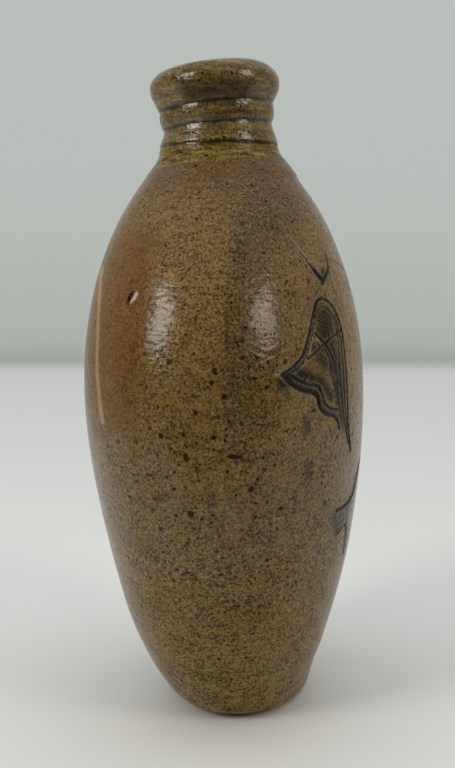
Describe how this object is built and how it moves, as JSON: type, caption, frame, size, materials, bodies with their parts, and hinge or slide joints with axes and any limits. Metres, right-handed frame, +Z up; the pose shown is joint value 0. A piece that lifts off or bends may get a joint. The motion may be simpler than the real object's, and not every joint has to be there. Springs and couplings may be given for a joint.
{
  "type": "stoneware flask",
  "caption": "Salt-glazed stoneware flask: a flattened, slightly leaning body with a narrow ringed neck and a rolled lip, for holding liquid behind a cork.",
  "frame": {"origin": "middle of the flat foot, on the surface that the flask stands on", "axes": "+Z up along the height; X across the thin side, with the incised broad face towards +X; Y across the broad side"},
  "size_m": [0.0844, 0.1122, 0.1912],
  "materials": {
    "stoneware": "mottled brown salt glaze, satin"
  },
  "bodies": {
    "root": {"flask": "stoneware"}
  },
  "joints": []
}
